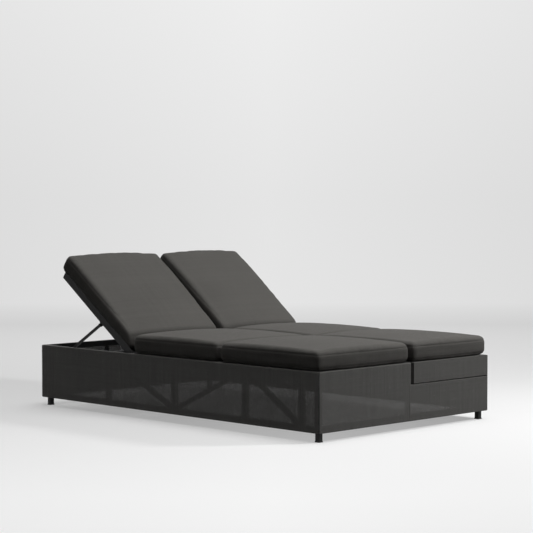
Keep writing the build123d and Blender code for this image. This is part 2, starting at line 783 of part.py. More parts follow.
for name, side in sides.items():
    pieces[name + "_top_rail"] = long_rail(side, top_rail_low)
    pieces[name + "_bottom_rail"] = long_rail(side, bottom_rail_low)
    pieces[name + "_head_leg"] = corner_leg(side, -1)
    pieces[name + "_foot_leg"] = corner_leg(side, 1)
    pieces[name + "_seat_cushion"] = seat_cushion(side)
    pieces[name + "_foot_cushion"] = foot_cushion(side)
    pieces[name + "_back_outer_rail"] = back_side_rail(side, back_outer_y - back_rail_width, back_outer_y)
    pieces[name + "_back_inner_rail"] = back_side_rail(side, back_inner_y, back_inner_y + back_rail_width)
    pieces[name + "_back_top_rail"] = back_cross_rail(side, back_frame_reach - back_rail_width,
                                                      back_inner_y, back_outer_y, True)
    pieces[name + "_back_lower_rail"] = back_cross_rail(side, back_cross_rail_offset,
                                                        back_inner_y + back_rail_width,
                                                        back_outer_y - back_rail_width, False)
    pieces[name + "_back_sling"] = back_sling(side)
    pieces[name + "_back_pins"] = back_pins(side)
    pieces[name + "_back_cushion"] = back_cushion(side)
    pieces[name + "_strut_lugs"] = strut_lugs(side)
    pieces[name + "_strut_legs"] = Compound(children=[strut_leg(side, *leg) for leg in strut_planes()])
    pieces[name + "_strut_foot_bar"] = strut_foot_bar(side)

os.makedirs("parts", exist_ok=True)
for name, piece in pieces.items():
    export_step(piece, "parts/" + name + ".step")
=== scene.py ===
import math

import bmesh
import bpy
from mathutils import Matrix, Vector, noise


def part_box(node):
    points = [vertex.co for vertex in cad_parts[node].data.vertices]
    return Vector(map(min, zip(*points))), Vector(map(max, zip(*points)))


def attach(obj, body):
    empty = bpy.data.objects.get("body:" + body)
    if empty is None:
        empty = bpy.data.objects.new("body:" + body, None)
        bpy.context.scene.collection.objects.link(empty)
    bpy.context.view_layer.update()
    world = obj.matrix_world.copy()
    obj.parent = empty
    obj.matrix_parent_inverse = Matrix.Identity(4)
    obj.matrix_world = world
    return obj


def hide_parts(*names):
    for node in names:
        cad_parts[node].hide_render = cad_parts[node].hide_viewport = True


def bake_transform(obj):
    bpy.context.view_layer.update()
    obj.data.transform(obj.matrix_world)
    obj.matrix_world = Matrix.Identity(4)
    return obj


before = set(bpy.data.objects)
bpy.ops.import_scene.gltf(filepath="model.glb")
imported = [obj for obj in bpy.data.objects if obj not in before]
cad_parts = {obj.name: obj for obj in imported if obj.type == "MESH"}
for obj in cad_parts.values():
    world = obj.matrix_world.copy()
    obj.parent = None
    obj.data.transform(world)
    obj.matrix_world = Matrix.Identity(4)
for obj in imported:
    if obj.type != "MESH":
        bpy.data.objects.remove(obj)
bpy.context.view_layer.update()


# Base frame. Welded from square and flat aluminium tube: rails behind the mesh, uprights, slanting braces,
# four legs, the long centre beam and the cross beams of the deck. Everything is powder-coated matt black,
# and the coat has the faint pebble and the slightly uneven sheen of that finish.

coat_dark = (0.008, 0.008, 0.0085)
coat_light = (0.014, 0.014, 0.0145)
coat_roughness = 0.50
coat_unevenness = 0.06
coat_specular = 0.2
coat_shades_to_metre = 7
coat_sheens_to_metre = 30
coat_pebbles_to_metre = 1400
coat_pebble_height = 0.0001
cloud_low, cloud_high = 0.3, 0.7


def new_finish(name):
    """A new material, with its node tree and its shader."""
    material = bpy.data.materials.new(name)
    material.use_nodes = True
    return material, material.node_tree, material.node_tree.nodes["Principled BSDF"]


def feed(tree, socket, value):
    """Set a socket to a value, or link it to the socket that gives it."""
    if isinstance(value, bpy.types.NodeSocket):
        tree.links.new(value, socket)
    else:
        socket.default_value = value


def reckon(tree, kind, first, second=0.0):
    """The result of a sum on two values."""
    node = tree.nodes.new("ShaderNodeMath")
    node.operation = kind
    feed(tree, node.inputs[0], first)
    feed(tree, node.inputs[1], second)
    return node.outputs[0]


def spread(tree, value, low, high, to_low, to_high):
    """A value taken from one range to another."""
    node = tree.nodes.new("ShaderNodeMapRange")
    for place, amount in enumerate((value, low, high, to_low, to_high)):
        feed(tree, node.inputs[place], amount)
    return node.outputs[0]


def mottle(tree, scale, detail=2.0, stretch=(1, 1, 1)):
    """Soft noise fixed to the piece, with so many blotches to the metre."""
    place = tree.nodes.new("ShaderNodeTexCoord")
    shift = tree.nodes.new("ShaderNodeMapping")
    shift.inputs["Scale"].default_value = stretch
    cloud = tree.nodes.new("ShaderNodeTexNoise")
    cloud.inputs["Scale"].default_value = scale
    cloud.inputs["Detail"].default_value = detail
    tree.links.new(place.outputs["Object"], shift.inputs["Vector"])
    tree.links.new(shift.outputs[0], cloud.inputs["Vector"])
    return cloud.outputs["Fac"]


def tint(tree, share, dark, light):
    """A colour between two, by a share from 0 to 1."""
    node = tree.nodes.new("ShaderNodeMix")
    node.data_type = "RGBA"
    feed(tree, node.inputs[0], share)
    node.inputs[6].default_value = (*dark, 1)
    node.inputs[7].default_value = (*light, 1)
    return node.outputs[2]


def raised(tree, height, distance):
    """A surface normal that follows a height."""
    node = tree.nodes.new("ShaderNodeBump")
    node.inputs["Distance"].default_value = distance
    tree.links.new(height, node.inputs["Height"])
    return node.outputs[0]


def powder_coat(name, dark, light, roughness):
    """Baked powder paint: fine pebble, a slightly uneven sheen and a trace of dust."""
    material, tree, shader = new_finish(name)
    tree.links.new(tint(tree, mottle(tree, coat_shades_to_metre, 4), dark, light),
                   shader.inputs["Base Color"])
    tree.links.new(spread(tree, mottle(tree, coat_sheens_to_metre), cloud_low, cloud_high,
                          roughness - coat_unevenness, roughness + coat_unevenness),
                   shader.inputs["Roughness"])
    tree.links.new(raised(tree, mottle(tree, coat_pebbles_to_metre, 1), coat_pebble_height),
                   shader.inputs["Normal"])
    shader.inputs["Specular IOR Level"].default_value = coat_specular
    return material


def dress(material, *names):
    """Give a finish to pieces of the frame."""
    for name in names:
        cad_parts[name].data.materials.clear()
        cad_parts[name].data.materials.append(material)


black_coat = powder_coat("black powder coat", coat_dark, coat_light, coat_roughness)
dress(black_coat, "near_top_rail", "far_top_rail", "near_bottom_rail", "far_bottom_rail", "head_top_rail",
      "head_bottom_rail", "foot_top_rail", "foot_bottom_rail", "tray_sill_rail", "foot_divider", "head_posts",
      "side_posts", "side_braces", "near_head_leg", "near_foot_leg", "far_head_leg", "far_foot_leg",
      "centre_beam", "foot_beam", "deck_beams", "rack_hangers", "hinge_brackets")


# Feet. Moulded nylon plugs pushed up into the legs, matt black with random grey scuffs. The
# strips that the tray runs on are the same nylon.

nylon_dark, nylon_light = (0.014, 0.014, 0.014), (0.035, 0.034, 0.032)
nylon_roughness = 0.62
nylon_scuffs_to_metre = 160
nylon_grains_to_metre = 900
nylon_grain_height = 0.00015


def moulded(name, dark, light, blotches_to_metre, grains_to_metre, grain_height, roughness):
    """A moulded black plastic or rubber, with a fine grain."""
    material, tree, shader = new_finish(name)
    tree.links.new(tint(tree, mottle(tree, blotches_to_metre, 3), dark, light), shader.inputs["Base Color"])
    tree.links.new(raised(tree, mottle(tree, grains_to_metre, 2), grain_height), shader.inputs["Normal"])
    shader.inputs["Roughness"].default_value = roughness
    return material


nylon = moulded("black nylon", nylon_dark, nylon_light, nylon_scuffs_to_metre, nylon_grains_to_metre,
                nylon_grain_height, nylon_roughness)
dress(nylon, "leg_glides", "tray_runners")


# Mesh skins. Coated yarn woven open, so that light and the frame show faintly through, pulled tight round
# the base and folded over the rim and under the bottom edge. The yarns run level and upright.

mesh_dark, mesh_light = (0.072, 0.071, 0.067), (0.144, 0.141, 0.134)
mesh_pitch = 0.0016
mesh_cover = 0.84
mesh_relief = 0.0004
mesh_roughness = 0.55
mesh_specular = 0.18
mesh_streaks_to_metre = (170, 170, 5)
mesh_yarn_share, mesh_streak_share = 0.4, 0.6
square_on = 0.7
under_yarn_height = 0.6


def leaned(tree, vector, lean):
    """A place or direction as a leaning cloth has it, turned back by the lean."""
    if not lean:
        return vector
    turn = tree.nodes.new("ShaderNodeMapping")
    turn.vector_type = "POINT"
    turn.inputs["Rotation"].default_value = (0, -lean, 0)
    tree.links.new(vector, turn.inputs["Vector"])
    return turn.outputs[0]


def split(tree, vector):
    """The x, the y and the z of a place or direction."""
    node = tree.nodes.new("ShaderNodeSeparateXYZ")
    tree.links.new(vector, node.inputs[0])
    return node.outputs


def either(tree, share, first, second):
    """The first value where the share is 0, and the second where it is 1."""
    node = tree.nodes.new("ShaderNodeMix")
    for place, value in ((0, share), (2, first), (3, second)):
        tree.links.new(value, node.inputs[place])
    return node.outputs[0]


def weighed(tree, *parts):
    """The sum of some values, each taken by its weight."""
    total = None
    for value, weight in parts:
        part = reckon(tree, "MULTIPLY", value, weight)
        total = part if total is None else reckon(tree, "ADD", total, part)
    return total


def cloth_grid(tree, pitch, lean):
    """Two coordinates along the cloth, counted in yarns, on whichever way the surface faces."""
    place = tree.nodes.new("ShaderNodeTexCoord")
    x, y, z = split(tree, leaned(tree, place.outputs["Object"], lean))
    way = split(tree, leaned(tree, place.outputs["Normal"], lean))
    ends_on = reckon(tree, "GREATER_THAN", reckon(tree, "ABSOLUTE", way[0]), square_on)
    lies_flat = reckon(tree, "GREATER_THAN", reckon(tree, "ABSOLUTE", way[2]), square_on)
    return (reckon(tree, "DIVIDE", either(tree, ends_on, x, y), pitch),
            reckon(tree, "DIVIDE", either(tree, lies_flat, z, y), pitch))


def yarn_round(tree, place, cover):
    """How high a yarn's round back stands, from 1 on its crest to 0 at its edge, and where it has ended."""
    off = reckon(tree, "MULTIPLY", reckon(tree, "ABSOLUTE", reckon(
        tree, "SUBTRACT", reckon(tree, "FRACT", place), 0.5)), 2 / cover)
    back = reckon(tree, "SUBTRACT", 1, reckon(tree, "POWER", off, 2))
    return reckon(tree, "MAXIMUM", back, 0), reckon(tree, "GREATER_THAN", off, 1)


def plain_weave(tree, across, along, cover):
    """The height of a plain weave, where its holes are, and a shade that differs from yarn to yarn."""
    warp, warp_gap = yarn_round(tree, across, cover)
    weft, weft_gap = yarn_round(tree, along, cover)
    over = reckon(tree, "PINGPONG", reckon(tree, "ADD", reckon(tree, "FLOOR", across),
                                           reckon(tree, "FLOOR", along)), 1)
    height = either(tree, over,
                    reckon(tree, "MAXIMUM", warp, reckon(tree, "MULTIPLY", weft, under_yarn_height)),
                    reckon(tree, "MAXIMUM", weft, reckon(tree, "MULTIPLY", warp, under_yarn_height)))
    shades = []
    for place in (across, along):
        yarn = tree.nodes.new("ShaderNodeTexWhiteNoise")
        yarn.noise_dimensions = "1D"
        tree.links.new(reckon(tree, "FLOOR", place), yarn.inputs["W"])
        shades.append(yarn.outputs["Value"])
    return height, reckon(tree, "MULTIPLY", warp_gap, weft_gap), either(tree, over, *shades)


def outdoor_mesh(name, pitch, cover, dark, light, lean=0.0):
    """Coated yarn in an open plain weave. A hole is cut once through the thin skin, from whichever side."""
    material, tree, shader = new_finish(name)
    across, along = cloth_grid(tree, pitch, lean)
    height, hole, shade = plain_weave(tree, across, along, cover)
    streaks = mottle(tree, 1, 3, mesh_streaks_to_metre)
    share = weighed(tree, (shade, mesh_yarn_share), (streaks, mesh_streak_share))
    tree.links.new(tint(tree, share, dark, light), shader.inputs["Base Color"])
    tree.links.new(raised(tree, height, mesh_relief), shader.inputs["Normal"])
    shader.inputs["Roughness"].default_value = mesh_roughness
    shader.inputs["Specular IOR Level"].default_value = mesh_specular
    behind = tree.nodes.new("ShaderNodeNewGeometry")
    cleared = reckon(tree, "MAXIMUM", hole, behind.outputs["Backfacing"])
    tree.links.new(reckon(tree, "SUBTRACT", 1, cleared), shader.inputs["Alpha"])
    return material


skin = outdoor_mesh("outdoor mesh", mesh_pitch, mesh_cover, mesh_dark, mesh_light)
dress(skin, "near_side_mesh", "far_side_mesh", "head_end_mesh", "foot_near_mesh", "foot_lower_mesh",
      "tray_front_mesh")


# Deck and backrest slings. The same yarn woven close, stretched over the deck beams and over the two
# backrest frames, so it is what the cushions lie on and what shows behind a raised backrest.

lean_back = math.radians(35.5)
sling_dark, sling_light = (0.018, 0.018, 0.0175), (0.032, 0.0315, 0.030)
sling_pitch = 0.0013
sling_cover = 0.97

sling = outdoor_mesh("deck sling", sling_pitch, sling_cover, sling_dark, sling_light)
leaning_sling = outdoor_mesh("backrest sling", sling_pitch, sling_cover, sling_dark, sling_light, lean_back)
dress(sling, "deck_slings")
dress(leaning_sling, "near_back_sling", "far_back_sling")


# Corner beads. A soft round cord pressed into the groove at each corner locks the edges of two skins; it
# shows as a narrow dark line down the corner, a little below the face of the mesh.

rubber_dark, rubber_light = (0.006, 0.006, 0.006), (0.012, 0.012, 0.012)
rubber_roughness = 0.7
rubber_blotches_to_metre = 90
rubber_grains_to_metre = 700
rubber_grain_height = 0.0001
bead_radius = 0.0014
bead_sides = 8
bead_inset = 0.0018
bead_over_bottom, bead_under_rim = 0.002, 0.003

rubber = moulded("black rubber", rubber_dark, rubber_light, rubber_blotches_to_metre, rubber_grains_to_metre,
                 rubber_grain_height, rubber_roughness)
base_low, base_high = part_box("near_side_mesh")[0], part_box("far_side_mesh")[1]
front_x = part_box("foot_near_mesh")[1][0]


def join_rings(form, rings):
    """Close the wall between each ring of points and the next."""
    for ring, beyond in zip(rings, rings[1:]):
        for step in range(len(ring)):
            nearest = (step + 1) % len(ring)
            form.faces.new((ring[step], ring[nearest], beyond[nearest], beyond[step]))


def made(name, form):
    """A new piece with this form, put into the scene."""
    mesh = bpy.data.meshes.new(name)
    form.to_mesh(mesh)
    form.free()
    piece = bpy.data.objects.new(name, mesh)
    bpy.context.scene.collection.objects.link(piece)
    return piece


def round_bead(name, low, high):
    """A straight round cord between two points, with closed ends."""
    run = (Vector(high) - Vector(low)).normalized()
    side = run.orthogonal().normalized()
    up = run.cross(side)
    cord = bmesh.new()
    rings = []
    for point in (low, high):
        rings.append([])
        for step in range(bead_sides):
            turn = 2 * math.pi * step / bead_sides
            rings[-1].append(cord.verts.new(
                Vector(point) + bead_radius * (side * math.cos(turn) + up * math.sin(turn))))
    join_rings(cord, rings)
    cord.faces.new(list(reversed(rings[0])))
    cord.faces.new(rings[-1])
    for face in cord.faces:
        face.smooth = len(face.verts) == 4
    bmesh.ops.recalc_face_normals(cord, faces=cord.faces)
    return made(name, cord)


for end, end_name in ((-1, "head"), (1, "foot")):
    for side, side_name in ((-1, "near"), (1, "far")):
        corner_x = end * (front_x - bead_inset)
        corner_y = side * (base_high[1] - bead_inset)
        bead = round_bead(side_name + "_" + end_name + "_corner_bead",
                          (corner_x, corner_y, base_low[2] + bead_over_bottom),
                          (corner_x, corner_y, base_high[2] - bead_under_rim))
        bead.data.materials.append(rubber)
        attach(bead, "base")


# Backrest frames. Flat black tube in a rectangle with closed ends; each hinges on two short steel pins in
# brackets on the side rail and on the centre beam.

steel_dark, steel_light = (0.30, 0.30, 0.31), (0.42, 0.42, 0.43)
steel_smooth, steel_rough = 0.28, 0.45
steel_shades_to_metre = 60
steel_sheens_to_metre = 120

for side_name in ("near", "far"):
    dress(black_coat, side_name + "_back_outer_rail", side_name + "_back_inner_rail",
          side_name + "_back_top_rail", side_name + "_back_lower_rail")

turned_steel, tree, shader = new_finish("turned steel")
tree.links.new(tint(tree, mottle(tree, steel_shades_to_metre, 3), steel_dark, steel_light),
               shader.inputs["Base Color"])
tree.links.new(spread(tree, mottle(tree, steel_sheens_to_metre, 3), cloud_low, cloud_high, steel_smooth,
                      steel_rough), shader.inputs["Roughness"])
shader.inputs["Metallic"].default_value = 1.0
for side_name in ("near", "far"):
    dress(turned_steel, side_name + "_back_pins")


# Prop struts and racks. Under each backrest hangs a U of flat bar whose round foot bar drops into notched
# flats inside the base. Bars and flats are coated black, and the whole foot bars are a lighter grey.

worn_dark, worn_light = (0.008, 0.008, 0.0085), (0.019, 0.019, 0.0195)
worn_roughness = 0.48
foot_bar_dark, foot_bar_light = (0.030, 0.030, 0.031), (0.090, 0.089, 0.087)
foot_bar_roughness = 0.36

worn_coat = powder_coat("worn powder coat", worn_dark, worn_light, worn_roughness)
# The foot bars get a lighter grey coat all over, mottled at random like the black one.
grey_foot_bar = powder_coat("grey foot bar", foot_bar_dark, foot_bar_light, foot_bar_roughness)
dress(worn_coat, "prop_racks")
for side_name in ("near", "far"):
    dress(worn_coat, side_name + "_strut_lugs", side_name + "_strut_legs")
    dress(grey_foot_bar, side_name + "_strut_foot_bar")


# Tray. A folded sheet box on two nylon strips that slide in channels under the deck, with a mesh-covered
# board as its front. Fingers reach its edge through the upright slot in the middle of the foot end.

dress(worn_coat, "tray_box", "tray_guides")
dress(black_coat, "tray_front_board")


# Seat and foot cushions. Blocks of foam in a sewn cover of plain-woven outdoor cloth, charcoal with a warm
# cast. Each cover is a top and a bottom panel and a band between them, joined by two fine seams.

deck_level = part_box("near_seat_cushion")[0][2]
level_height = 0.096
level_crown = 0.012
level_edge_drop = 0.006
top_round = 0.028
bottom_round = 0.022
side_round = 0.019
side_drop = 0.011
side_turns = (20, 40, 60, 78, 90)
edge_crown = 0.5
half_stations = 8
under_share = 0.55
side_ease = 0.001
split_low, split_high = 0.021, 0.052
corner_steps = 5
run_steps = (22, 3, 22, 3)


def cushion_side_view(corners, radii, crown):
    """Points round the side view of a pad, from its corners, with each corner rounded and its top crowned."""
    outline = []
    count = len(corners)
    for index, corner in enumerate(corners):
        here = Vector(corner)
        back = (Vector(corners[index - 1]) - here).normalized()
        on = (Vector(corners[(index + 1) % count]) - here).normalized()
        reach = radii[index] / math.tan(back.angle(on) / 2)
        start, finish = here + back * reach, here + on * reach
        for step in range(corner_steps + 1):
            share = step / corner_steps
            outline.append((start.lerp(here, share)).lerp(here.lerp(finish, share), share))
        far = Vector(corners[(index + 1) % count])
        ahead = (Vector(corners[(index + 2) % count]) - far).normalized()
        far_reach = radii[(index + 1) % count] / math.tan((-on).angle(ahead) / 2)
        length = (far - finish).length - far_reach
        outline += [finish + on * (length * step / run_steps[index]) for step in range(1, run_steps[index])]
    low_u, high_u = min(p.x for p in outline), max(p.x for p in outline)
    low_w, high_w = min(p.y for p in outline), max(p.y for p in outline)
    for point in outline:
        share = (2 * point.x - low_u - high_u) / (high_u - low_u)
        lift = max(0, (point.y - low_w) / (high_w - low_w) * 2 - 1)
        point.y += crown * (1 - share * share) * lift
    return outline


def pad_body(name, side_view, width, edge_drop, place):
    """A closed pad from its side view: stations across the width, with the sides rounded over and closed.

    side_view gives the outline for a drop and a share of the crown; place puts a point in the room.
    """
    shoulder = width / 2 - side_round
    stations = []
    for step in range(half_stations + 1):
        share = step / half_stations
        stations.append((shoulder * share, edge_drop * share * share, 1 - (1 - edge_crown) * share * share))
    for degrees in side_turns:
        turn = math.radians(degrees)
        stations.append((shoulder + side_round * math.sin(turn), edge_drop + side_drop * (1 - math.cos(turn)),
                         edge_crown * (1 + math.cos(turn)) / 2))
    stations = [(-y, *form) for y, *form in reversed(stations)] + stations[1:]
    body = bmesh.new()
    rings = []
    for y, drop, crown_share in stations:
        rings.append([body.verts.new(place(u, y, w)) for u, w in side_view(drop, crown_share)])
    join_rings(body, rings)
    for ring in (rings[0], rings[-1]):
        bmesh.ops.triangulate(body, faces=[body.faces.new(ring)])
    bmesh.ops.recalc_face_normals(body, faces=body.faces)
    return made(name, body)


cover_grid = 0.009
stuffing_pressure = 4.0
stuffing_steps = 20
cover_tension = 25
cover_stiffness = 1.5
swell_up, swell_out = 0.005, 0.0015


def settled_mesh(piece):
    """The piece's mesh as its modifiers leave it."""
    return bpy.data.meshes.new_from_object(piece.evaluated_get(bpy.context.evaluated_depsgraph_get()))


def plump(pad, up):
    """Blow the cover up from inside, as foam fills it, and hold the swelling to the room it has."""
    remesh = pad.modifiers.new("even cloth", "REMESH")
    remesh.mode = "VOXEL"
    remesh.voxel_size = cover_grid
    even = settled_mesh(pad)
    pad.modifiers.clear()
    pad.data = even
    start = [v.co.copy() for v in even.vertices]
    cloth = pad.modifiers.new("stuffing", "CLOTH")
    cloth.settings.quality = 4
    cloth.settings.use_pressure = True
    cloth.settings.uniform_pressure_force = stuffing_pressure
    cloth.settings.tension_stiffness = cover_tension
    cloth.settings.bending_stiffness = cover_stiffness
    cloth.settings.effector_weights.gravity = 0
    cloth.collision_settings.use_collision = False
    cloth.collision_settings.use_self_collision = False
    for step in range(1, stuffing_steps + 1):
        bpy.context.scene.frame_set(step)
    swollen = settled_mesh(pad)
    pad.modifiers.clear()
    for vertex, was, now in zip(even.vertices, start, swollen.vertices):
        move = now.co - was
        rise = move.dot(up)
        flat = move - up * rise
        rise = max(-swell_out, min(swell_up, rise))
        if flat.length > swell_out:
            flat *= swell_out / flat.length
        vertex.co = was + up * rise + flat
    bpy.context.scene.frame_set(1)


seam_depth = 0.0016
seam_half_width = 0.0035
band_reach = 0.02
ripples_to_metre, ripples_up = 9, 22
ripple_height, ripple_fade = 0.0012, 0.09
creases_to_metre = 26
crease_height, crease_fade = 0.0005, 0.05


def sewn(pad, place_of, seams, seed):
    """Smooth the cover, draw it in along its seams and crease it lightly where the seams pull."""
    smooth = pad.modifiers.new("relax", "SMOOTH")
    smooth.factor = 0.5
    smooth.iterations = 4
    finer = pad.modifiers.new("finer", "SUBSURF")
    finer.levels = 1
    fine = settled_mesh(pad)
    pad.modifiers.clear()
    pad.data = fine
    lows = [min(place_of(v.co)[axis] for v in fine.vertices) for axis in range(3)]
    highs = [max(place_of(v.co)[axis] for v in fine.vertices) for axis in range(3)]
    normals = [v.normal.copy() for v in fine.vertices]
    for vertex, normal in zip(fine.vertices, normals):
        u, y, w = place_of(vertex.co)
        edge = min(u - lows[0], highs[0] - u, y - lows[1], highs[1] - y)
        pull = 0
        for seam in seams:
            near = (w - seam) / seam_half_width
            if edge < band_reach:
                pull += seam_depth * math.exp(-near * near)
        ripple = noise.noise(Vector((u * ripples_to_metre, y * ripples_to_metre, w * ripples_up + seed)))
        crease = noise.noise(Vector((u * creases_to_metre, y * creases_to_metre, seed * 3)))
        vertex.co += normal * (ripple * ripple_height * math.exp(-edge / ripple_fade)
                               + crease * crease_height * math.exp(-edge / crease_fade) - pull)
    for face in fine.polygons:
        face.use_smooth = True


cloth_dark, cloth_light = (0.067, 0.065, 0.060), (0.138, 0.132, 0.124)
cloth_pitch = 0.0011
cloth_cover = 1.0
cloth_relief = 0.0003
cloth_roughness = 0.85
cloth_specular = 0.1
cloth_nap, cloth_nap_roughness = 0.05, 0.45
slubs_to_metre = (420, 420, 60)
worn_patches_to_metre = 5
cloth_yarn_share, cloth_slub_share, cloth_worn_share = 0.45, 0.35, 0.2
seam_shadow = (0.02, 0.02, 0.018, 1)
seam_shadow_share = 0.65
seam_sink = 2.0
stitch_half_width = 0.0012
panel_facing = 0.8


def cushion_cloth(name, seams, low, lean=0.0):
    """Plain-woven yarn-dyed cloth: warm charcoal yarns of uneven shade, a soft nap, and stitched seams with
    painted shadow along them.

    The seams lie level at their heights over the pad's underside, and lean back with a backrest.
    """
    material, tree, shader = new_finish(name)
    across, along = cloth_grid(tree, cloth_pitch, lean)
    height, _, shade = plain_weave(tree, across, along, cloth_cover)
    share = weighed(tree, (shade, cloth_yarn_share), (mottle(tree, 1, 2, slubs_to_metre), cloth_slub_share),
                    (mottle(tree, worn_patches_to_metre, 3), cloth_worn_share))
    place = tree.nodes.new("ShaderNodeTexCoord")
    level = split(tree, leaned(tree, place.outputs["Object"], lean))[2]
    way_up = split(tree, leaned(tree, place.outputs["Normal"], lean))[2]
    # Painted shadow: along each seam on the band the cloth's colour is darkened toward seam_shadow.
    line = 0
    for seam in seams:
        off = reckon(tree, "ABSOLUTE", reckon(tree, "SUBTRACT", level, low + seam))
        close = reckon(tree, "SUBTRACT", 1, spread(tree, off, 0.0, stitch_half_width, 0.0, 1.0))
        line = reckon(tree, "MAXIMUM", line, close)
    on_band = reckon(tree, "LESS_THAN", reckon(tree, "ABSOLUTE", way_up), panel_facing)
    line = reckon(tree, "MULTIPLY", line, on_band)
    shadowed = tree.nodes.new("ShaderNodeMix")
    shadowed.data_type = "RGBA"
    tree.links.new(reckon(tree, "MULTIPLY", line, seam_shadow_share), shadowed.inputs[0])
    tree.links.new(tint(tree, share, cloth_dark, cloth_light), shadowed.inputs[6])
    shadowed.inputs[7].default_value = seam_shadow
    tree.links.new(shadowed.outputs[2], shader.inputs["Base Color"])
    total = reckon(tree, "SUBTRACT", height, reckon(tree, "MULTIPLY", line, seam_sink))
    tree.links.new(raised(tree, total, cloth_relief), shader.inputs["Normal"])
    shader.inputs["Roughness"].default_value = cloth_roughness
    shader.inputs["Specular IOR Level"].default_value = cloth_specular
    shader.inputs["Sheen Weight"].default_value = cloth_nap
    shader.inputs["Sheen Roughness"].default_value = cloth_nap_roughness
    return material


def pad_sides(side_name, low, high, near_edge, far_edge):
    """The middle and the width of a pad: near and far pads stand apart over the centre beam."""
    if side_name == "near":
        sides = low[1] - side_ease, near_edge
    else:
        sides = far_edge, high[1] + side_ease
    return sum(sides) / 2, sides[1] - sides[0]


def level_cushion(name, side_name, low, high):
    """One level cushion, from the lowest and the highest corner of the room that it has."""
    def side_view(drop, crown_share):
        start, finish = low[0] + drop, high[0] - drop
        under, over = deck_level + drop * under_share, deck_level + level_height - drop
        corners = [(start, under), (finish, under), (finish, over), (start, over)]
        radii = [bottom_round, bottom_round, top_round, top_round]
        return cushion_side_view(corners, radii, level_crown * crown_share)

    middle, width = pad_sides(side_name, low, high, split_low, split_high)
    pad = pad_body(name, side_view, width, level_edge_drop, lambda u, y, w: Vector((u, y + middle, w)))
    plump(pad, Vector((0, 0, 1)))
    return pad


def level_spot(point):
    """The reach, the side and the height of a point on a level cushion."""
    return point.x, point.y, point.z


level_seams = (0.014, level_height - 0.022)
level_cloth = cushion_cloth("cushion cloth", level_seams, deck_level)
for kind, seed in (("seat", 0), ("foot", 7)):
    for side_name in ("near", "far"):
        node = side_name + "_" + kind + "_cushion"
        pad = level_cushion(side_name + "_" + kind + "_pad", side_name, *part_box(node))
        sewn(pad, level_spot, [deck_level + seam for seam in level_seams], seed + len(side_name))
        pad.data.materials.append(level_cloth)
        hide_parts(node)
        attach(pad, "base")


# Back cushions. The same make, lying on the backrest sling and thinner toward the hinge. The lower end
# stands against the seat cushion.

hinge_x, hinge_z = -0.297, 0.300
sling_face = 0.0215
back_height = 0.105
back_crown = 0.005
back_edge_drop = 0.008
back_top_round = 0.022
back_length = 0.709
end_x = hinge_x + 0.014
hinge_end_round = 0.028
taper_depth = 0.036
taper_length = 0.60
taper_curve = 1.5
back_split_low, back_split_high = 0.008, 0.046
back_seed = 31


def leaning_place(u, y, w):
    """A point of a backrest, by its reach from the hinge along the frame and its height over it."""
    return Vector((hinge_x - u * math.cos(lean_back) + w * math.sin(lean_back), y,
                   hinge_z + u * math.sin(lean_back) + w * math.cos(lean_back)))


def leaning_spot(point):
    """The reach, the side and the height of a point on a backrest."""
    x, z = point.x - hinge_x, point.z - hinge_z
    return (z * math.sin(lean_back) - x * math.cos(lean_back), point.y,
            x * math.sin(lean_back) + z * math.cos(lean_back))


def back_side_view(drop, crown_share):
    """The side view of a back pad: its lower end stands upright, and its top thins toward it."""
    under, over = sling_face + drop * under_share, sling_face + back_height - drop
    foot = (hinge_x - end_x) / math.cos(lean_back) + drop
    finish = back_length - drop
    corners = [(foot + under * math.tan(lean_back), under), (finish, under), (finish, over),
               (foot + over * math.tan(lean_back), over)]
    outline = cushion_side_view(corners, [bottom_round, bottom_round, back_top_round, hinge_end_round],
                                back_crown * crown_share)
    for point in outline:
        thinned = max(0, 1 - (point.x - foot) / taper_length) ** taper_curve * taper_depth
        point.y -= thinned * max(0, point.y - under) / (over - under)
    return outline


back_seams = (0.014, back_height - 0.024)
leaning_low = hinge_x * math.sin(lean_back) + hinge_z * math.cos(lean_back) + sling_face
back_cloth = cushion_cloth("back cushion cloth", back_seams, leaning_low, lean_back)
for side_name in ("near", "far"):
    middle, width = pad_sides(side_name, *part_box(side_name + "_back_cushion"), back_split_low,
                              back_split_high)
    pad = pad_body(side_name + "_back_pad", back_side_view, width, back_edge_drop,
                   lambda u, y, w: leaning_place(u, y + middle, w))
    plump(pad, Vector((math.sin(lean_back), 0, math.cos(lean_back))))
    sewn(pad, leaning_spot, [sling_face + seam for seam in back_seams], back_seed + len(side_name))
    pad.data.materials.append(back_cloth)
    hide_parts(side_name + "_back_cushion")
    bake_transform(pad)


# Studio. A wide pale floor that fades into the same pale grey all round, one soft lamp at the right and a
# little behind, and a soft light straight overhead. Floor and backdrop are a little brighter in the middle.
# Where the camera sees it, the floor is partly painted light: a glow, brighter toward the front, that also
# lightens the shadows on it.

floor_size, floor_squares = 40, 40
floor_roughness = 0.4
floor_lit, floor_seen = (0.04, 0.04, 0.04), (0.81, 0.81, 0.81)
floor_facing = Vector((0.67, 0.46, 0.58)).normalized()
away_line = (-0.709, 0.704, 0)
# Strengths of the floor's painted glow, toward the front, in the middle distance and far off.
near_reach, nearest_glow, midway_glow = -2.5, 1.85, 1.27
far_reach, far_glow_dimming = 6.0, 0.55
fade_start, fade_end, least_glow_share = 1.5, 9.0, 0.27
glow_from = (6.21, -6.10, 1.10)
glow_side = (0.705, 0.709, 0)
glow_width, glow_strength = 0.16, 1.085


def vector_sum(tree, kind, first, second=None):
    """The result of a sum on a place or direction, with a fixed second one where the kind takes two."""
    node = tree.nodes.new("ShaderNodeVectorMath")
    node.operation = kind
    tree.links.new(first, node.inputs[0])
    if second is not None:
        node.inputs[1].default_value = second
    return node.outputs["Value" if kind == "DOT_PRODUCT" else "Vector"]


def middle_glow(tree, sight):
    """The strength of the backdrop along a line of sight, a little brighter in the middle."""
    aside = reckon(tree, "ABSOLUTE", vector_sum(tree, "DOT_PRODUCT", sight, glow_side))
    return spread(tree, aside, 0.0, glow_width, glow_strength, 1.0)


